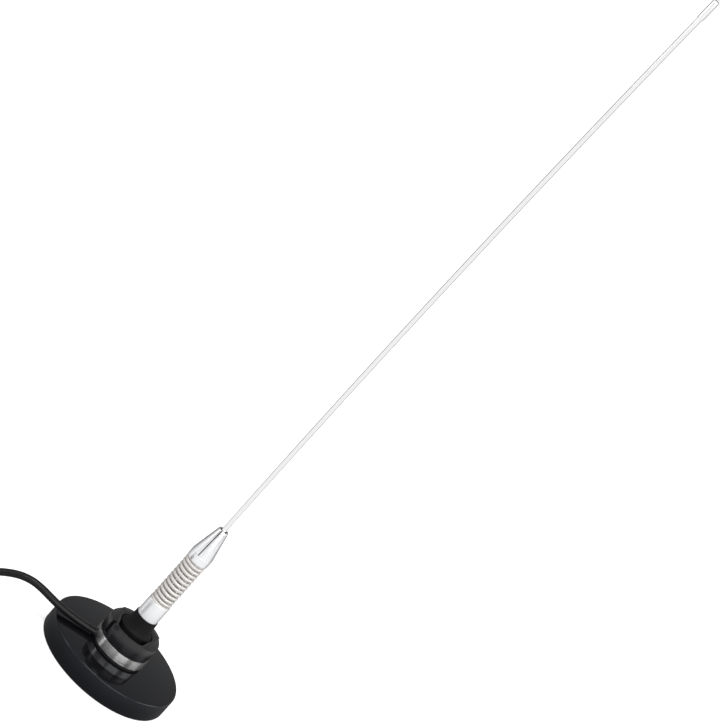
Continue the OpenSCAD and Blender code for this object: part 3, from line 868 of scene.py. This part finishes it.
# %% The collet's finish
def collet_finish():
    """Chrome with painted shade: near black in the slit and in the bore, where shade falls into
    them.
    """
    mat = chrome_finish("chrome_collet", (0.94, 0.945, 0.96), 0.3)
    tree, shader = mat.node_tree, mat.node_tree.nodes["Principled BSDF"]
    turned = add(tree, "ShaderNodeVectorRotate", {"Vector": place_of(tree),
                 "Angle": radians(-SLIT_WAY)}, rotation_type="Z_AXIS")
    x, y, z = add(tree, "ShaderNodeSeparateXYZ", {"Vector": turned.outputs[0]}).outputs
    off_axis = add(tree, "ShaderNodeVectorMath", {0: vector_of(tree, X=x, Y=y)},
                   operation="LENGTH").outputs["Value"]
    in_slit = calc(tree, "MULTIPLY",
                   calc(tree, "LESS_THAN", calc(tree, "ABSOLUTE", y), SLIT_WIDE * 0.503 * MM),
                   calc(tree, "GREATER_THAN", x, (SLIT_FROM - 0.1) * MM))
    in_bore = calc(tree, "LESS_THAN", off_axis, (MOUTH + 0.15) * MM)
    on_cone = calc(tree, "GREATER_THAN", z, (CONE_FOOT - 0.1) * MM)
    # Painted shade: the slit and the bore's mouth on the cone are coloured near black.
    painted_shade = calc(tree, "MULTIPLY", calc(tree, "MAXIMUM", in_slit, in_bore), on_cone)
    plated = shader.inputs["Base Color"].links[0].from_socket
    mix = add(tree, "ShaderNodeMix", {"Factor": painted_shade, "A": plated,
              "B": (0.012, 0.012, 0.014, 1)}, data_type="RGBA")
    lead(shader, Base_Color=mix.outputs["Result"])
    return mat


settle(collet, "head", collet_finish(), "collet_chrome", "collet")

# %% [markdown]
# ## The whip and its cap
# The whip is a drawn stainless rod, 3 mm thick, with a slight bow: an arc of
# ten metres' radius. Drawing leaves fine lines along it. The cap at its end
# takes the sharp tip and a few millimetres of tuning.

# %% The whip
BOW_R, BOW_START, BOW_ANGLE = 10000.0, 125.2, 0.04033
LEAN_WAY = -22
LEAN = Vector((cos(radians(LEAN_WAY)), sin(radians(LEAN_WAY)), 0))


def on_bow(angle):
    """A point on the bowed rod's middle line."""
    up = Vector((0, 0, BOW_START + BOW_R * sin(angle)))
    return up + LEAN * BOW_R * (1 - cos(angle))


rod_line = [Vector((0, 0, z)) for z in (90.2, 90.6, 100, 112, BOW_START)]
rod_line += [on_bow((BOW_ANGLE + 0.0009) * i / 60) for i in range(1, 61)]
whip = tube("whip_rod", rod_line, lambda i: 1.2 if i == 0 else 1.5, 32)
print("the rod is", round(length_of(rod_line)), "mm long")


# %% The whip's finish
def drawn_steel(name, tint, rough):
    mat, tree, shader = new_finish(name, tint, 1, rough)
    lines = noise(tree, 2.5, (1, 1, 0.01), 4)
    lead(shader, Roughness=spread(tree, lines, rough * 0.7, rough * 1.4),
         Base_Color=two_tone(tree, lines, [c * 0.9 for c in tint], tint))
    grain(tree, shader, lines, 0.01, 0.3)
    return mat


steel = drawn_steel("whip_stainless", (0.93, 0.93, 0.93), 0.16)
settle(whip, "whip", steel, "whip_steel", "whip")

# %% The tip cap
tip = (Matrix.Translation(on_bow(BOW_ANGLE) * MM) @ turn(LEAN_WAY, "Z")
       @ Matrix.Rotation(BOW_ANGLE, 4, "Y"))
cap = lathe("whip_cap", [(1.55, 0), (1.75, 0, 0.1), (1.95, 0.8, 0.3), (1.95, 13.5, 0.3),
                         (1.5, 14, 0.3), (0, 14), (0, 9), (1.55, 9)], 64, tip)
settle(cap, "whip", steel, "cap_steel", "tip_cap")

# %% [markdown]
# ## The coil's tie
# A strap of woven tape keeps the spare cable in its coil. It is a rounded
# frame in the coil's cross section, swept a little way round the coil. A real
# strap laps over itself; a closed band is simpler and looks the same.

# %% Helper: a strap round the coil
def strap_section(grow):
    """The coil's cross section, rounded, grown outwards: (radius, height)."""
    low_r, high_r = 16.25 - grow, 39.75 + grow
    low_z, high_z = 1.0 - grow, 19.8 + grow
    round_by = 2.0 + grow
    return rounded([(low_r, low_z, round_by), (high_r, low_z, round_by),
                    (high_r, high_z, round_by), (low_r, high_z, round_by)], 5)


def strap(name, wide=8.0, slices=8):
    """A band round the coil's section, so many millimetres wide."""
    bm = bmesh.new()
    rows = []
    for s in range(slices + 1):
        a = math.degrees(wide * (s / slices - 0.5) / MEAN_RADIUS)
        rows.append([[bm.verts.new(around(COIL_CENTRE, r, a, z) * MM)
                      for r, z in strap_section(grow)] for grow in (0.2, 0.95)])
    for near, far in zip(rows, rows[1:]):
        for layer in (0, 1):
            skin(bm, near[layer], far[layer])
    for row in (rows[0], rows[-1]):
        skin(bm, *row)
    bmesh.ops.recalc_face_normals(bm, faces=bm.faces)
    return from_bmesh(bm, name, 40)


# %% The tie and its tape
def woven_finish():
    mat, tree, shader = new_finish("tie_woven_tape", (0.02, 0.02, 0.022), 0, 0.7,
                                   Sheen_Weight=0.3, Sheen_Roughness=0.5)
    weave = add(tree, "ShaderNodeTexWave", {"Vector": place_of(tree), "Scale": 300.0,
                "Distortion": 1.5, "Detail": 2.0}, wave_type="BANDS",
                bands_direction="DIAGONAL").outputs["Fac"]
    lead(shader, Base_Color=two_tone(tree, weave, (0.012, 0.012, 0.013), (0.035, 0.035, 0.038)))
    grain(tree, shader, weave, 0.15, 0.6)
    return mat


tie = strap("coil_strap")
settle(tie, "base", woven_finish(), "tie_plastic", "coil_tie")

# %% [markdown]
# ## The plug
# The cable ends in a screw-on coaxial plug: a ribbed strain relief, a nickel
# body and a knurled nut that turns freely on it. Knurling is a pattern that
# repeats round an axis, so one ridge is instanced on a circle of points. Each
# copy faces outwards, so the nut looks the same however far it is turned.

# %% The plug's place and its relief
PLUG = at(-160.4, -49, PLUG_Z) @ turn(90, "Y")
relief_ribs = []
for k in range(5):
    y = 1.6 + 2.3 * k
    r = 3.05 + 2.55 * (y / 13)
    relief_ribs += [(r, y, 0.2), (r + 0.15, y + 1.2, 0.2), (r - 0.45, y + 1.4, 0.15),
                    (r - 0.4, y + 2.0, 0.15)]
relief = lathe("plug_relief_ribbed", [(0, 0), (2.85, 0, 0.2)] + relief_ribs
               + [(5.6, 13.2, 0.3), (5.9, 17.7, 0.3), (5.6, 18), (0, 18)], 72, PLUG)
settle(relief, "base", soft_black, "gland_rubber", "plug_relief")

# %% The plug's body
nickel = chrome_finish("plug_nickel_plate", (0.72, 0.71, 0.68), 0.2)
shell = lathe("plug_shell", [(0, 18), (6.2, 18, 0.4), (6.2, 30, 0.2), (7.65, 30, 0.25),
                             (7.65, 32.5, 0.25), (7.0, 32.5), (7.0, 42, 0.2), (6.0, 42, 0.2),
                             (6.0, 31), (0, 31)], 96, PLUG)
teeth = [block((3, 2, 2), PLUG @ turn(a, "Z") @ at(7, 0, 42)) for a in (45, 135, 225, 315)]
cut_and_round(shell, teeth, 0)
settle(shell, "base", nickel, "plug_nickel", "plug_body")

# %% The nut's core
nut_core = lathe("nut_core", [(6.275, 27.5), (8.55, 27.5, 0.4), (8.55, 47, 0.5),
                              (7.95, 47, 0.2), (7.95, 29.8), (6.275, 29.8)], 120)
print("core:", len(nut_core.data.polygons), "faces")

# %% The knurled nut
tree, size = new_tree("knurl", {"ridges": 60, "radius": 0.00862, "ridge": 0.00038,
                      "low": 0.0285, "length": 0.0125})
tree.interface.new_socket("core", in_out="INPUT", socket_type="NodeSocketObject")
circle = circle_of(tree, size["ridges"], size["radius"])
dots = add(tree, "GeometryNodeCurveToPoints", {"Curve": circle, "Count": size["ridges"]},
           mode="COUNT")
edge = add(tree, "GeometryNodeCurvePrimitiveLine", {"End": vector_of(tree, Z=size["length"])})
ridge = swept(tree, edge.outputs[0], 6, size["ridge"])
pitch = calc(tree, "DIVIDE", 2 * pi, size["ridges"])
many = fanned(tree, dots.outputs["Points"], ridge, pitch)
core = add(tree, "GeometryNodeObjectInfo", {"Object": size["core"]})
joined = add(tree, "GeometryNodeJoinGeometry")
for shape in (raised(tree, many, size["low"]), core.outputs["Geometry"]):
    tree.links.new(shape, joined.inputs[0])
close_tree(tree, joined.outputs[0], nickel)
nut = build("plug_nut_knurled", tree, core=nut_core)
nut.data.transform(PLUG)
shade(nut.data, 32)
bpy.data.objects.remove(nut_core)
settle(nut, "plug_nut", nickel, "plug_nickel", "plug_nut")

# %% [markdown]

# %% [markdown]
# ## What shows inside
# The solids that carry the rest keep their shape and only get a finish: zinc
# on the plate and screws, ferrite on the magnet, nickel on the mount, brass
# and waxy white plastic where the current runs.

# %% Finishes of the inner solids
ferrite = rubber_finish("magnet_ferrite_grey", (0.035, 0.034, 0.033), 0.75, 1.2, 0.06)
zinc = satin_metal("zinc_plate", (0.55, 0.56, 0.58), 0.35)
brass = chrome_finish("contact_brass_bright", (0.72, 0.52, 0.22), 0.18)
mount_nickel = turned_metal("mount_nickel", (0.55, 0.54, 0.5), (0.72, 0.7, 0.66), 0.25, 2.0, 0.01)
oxide = satin_metal("screw_black_oxide", (0.05, 0.05, 0.055), 0.4)


def plastic_finish():
    mat, tree, shader = new_finish("insulator_white", (0.8, 0.8, 0.76), 0, 0.45,
                                   Subsurface_Weight=0.1)
    shader.inputs["Subsurface Scale"].default_value = 0.001
    lead(shader, Roughness=spread(tree, noise(tree, 0.5), 0.38, 0.52), Base_Color=two_tone(
        tree, noise(tree, 0.2), (0.76, 0.76, 0.72), (0.84, 0.84, 0.8)))
    grain(tree, shader, noise(tree, 2.0), 0.01, 0.3)
    return mat


white = plastic_finish()
inside = ((ferrite, "magnet"), (copper, "inner_lead"), (soft_black, "gasket"),
          (zinc, "pole_plate", "mount_screw_a", "mount_screw_b", "mount_screw_c"),
          (mount_nickel, "post", "lock_nut"), (white, "insulator", "plug_insulator"),
          (brass, "centre_contact", "contact_pin", "plug_pin"),
          (oxide, "grub_low_screw", "grub_high_screw"))
for finish, *nodes in inside:
    for node in nodes:
        wear(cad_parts[node], finish)
    print(finish.name, "on", *nodes)

# %% [markdown]
# ## Floor, world and lamps
# The photograph is cut out on pure white. The floor's white comes from its own
# colour and a glow that only the camera sees, so it doesn't light the antenna,
# and the soft shadow under the base stays. Mirrors need something to show:
# the room is white in front of the antenna and grey behind it, as with a grey
# curtain there, and that draws the dark edges along the chrome and the rod.

# %% Helper: the grey side of the room, and what sees it
GREY_WAY = radians(73)


def grey_share(tree, place):
    """0 on the room's white side, 1 on its grey side, behind the antenna."""
    way = add(tree, "ShaderNodeVectorMath", {0: place}, operation="NORMALIZE")
    grey_way = (cos(GREY_WAY), sin(GREY_WAY), 0)
    along = add(tree, "ShaderNodeVectorMath", {0: way.outputs["Vector"], 1: grey_way},
                operation="DOT_PRODUCT").outputs["Value"]
    return add(tree, "ShaderNodeMapRange", {"Value": along, "From Min": 0.0, "From Max": 0.7},
               interpolation_type="SMOOTHSTEP").outputs["Result"]


def seen_by(tree, *kinds):
    """1 for the rays named, 0 for others."""
    ray = add(tree, "ShaderNodeLightPath")
    value = ray.outputs[kinds[0]]
    for kind in kinds[1:]:
        value = calc(tree, "MAXIMUM", value, ray.outputs[kind])
    return value


def in_mirrors(tree):
    return seen_by(tree, "Is Glossy Ray", "Is Transmission Ray")


# %% The floor, a little below the base's pad
HALF, DROP, GLOW = 6, -0.0003, 0.62
floor_mesh = bpy.data.meshes.new("floor")
corners = [(x * HALF, y * HALF, DROP) for x, y in ((-1, -1), (1, -1), (1, 1), (-1, 1))]
floor_mesh.from_pydata(corners, [], [range(4)])
floor = new_object("floor", floor_mesh)
floor_paint, tree, shader = new_finish("floor_white", (0.86, 0.86, 0.86), 0, 0.9)
shader.inputs["Emission Color"].default_value = (1, 1, 1, 1)
lead(shader, Emission_Strength=calc(tree, "MULTIPLY", seen_by(tree, "Is Camera Ray"), GLOW))
where = place_of(tree)
far = add(tree, "ShaderNodeVectorMath", {0: where}, operation="LENGTH").outputs["Value"]
grey_floor = spread(tree, far, 0.4, 0.1, 0.22, 0.5)
# Painted shadow: in mirrors the floor shows darker near the base, from 0.06 to 0.1 m out, as the
# base's shadow.
painted_shadow_in_mirrors = spread(tree, far, 0.25, 1.0, 0.06, 0.1)
shown = calc(tree, "MULTIPLY", between(tree, grey_share(tree, where), 1.0, grey_floor), painted_shadow_in_mirrors)
mirror = add(tree, "ShaderNodeEmission", {"Strength": shown})
either = add(tree, "ShaderNodeMixShader", {0: in_mirrors(tree), 1: shader.outputs[0],
             2: mirror.outputs[0]})
lead(tree.nodes["Material Output"], Surface=either.outputs[0])
wear(floor, floor_paint)
print("the floor is", 2 * HALF, "m wide")

# %% The world
DAYLIGHT = 0.42
world = bpy.data.worlds.new("studio")
scene.world = world
world.use_nodes = True
tree = world.node_tree
sky = tree.nodes["Background"]
sky.inputs["Color"].default_value = (1, 1, 1, 1)
way = add(tree, "ShaderNodeTexCoord").outputs["Generated"]
up = add(tree, "ShaderNodeSeparateXYZ", {"Vector": way}).outputs["Z"]
front = spread(tree, up, 0.3, 1.0, 0.1, 0.5)
back = spread(tree, up, 0.75, 0.28, 0.03, 0.22)
room = between(tree, grey_share(tree, way), front, back)
light = between(tree, in_mirrors(tree), DAYLIGHT, room)
lead(sky, Strength=between(tree, seen_by(tree, "Is Camera Ray"), light, 1.0))
print("world:", world.name)

# %% Soft lamps
def soft_lamp(name, place, aim, width, height, watts):
    light = bpy.data.lights.new(name, "AREA")
    light.shape = "RECTANGLE"
    light.size, light.size_y, light.energy = width, height, watts
    lamp = new_object(name, light)
    lamp.location = place
    lamp.rotation_euler = (Vector(aim) - Vector(place)).to_track_quat("-Z", "Y").to_euler()


soft_lamp("key", (-0.8, -1.0, 2.1), (0, 0, 0.15), 0.9, 0.7, 14)
soft_lamp("front_panel", (0.31, -1.45, 0.75), (0, 0, 0.02), 1.3, 0.9, 13)
soft_lamp("left_strip", (-1.5, -0.03, 0.6), (0, 0, 0.02), 0.25, 0.9, 4)
soft_lamp("right_panel", (1.45, -0.3, 0.7), (0, 0, 0.02), 1.1, 0.7, 7)
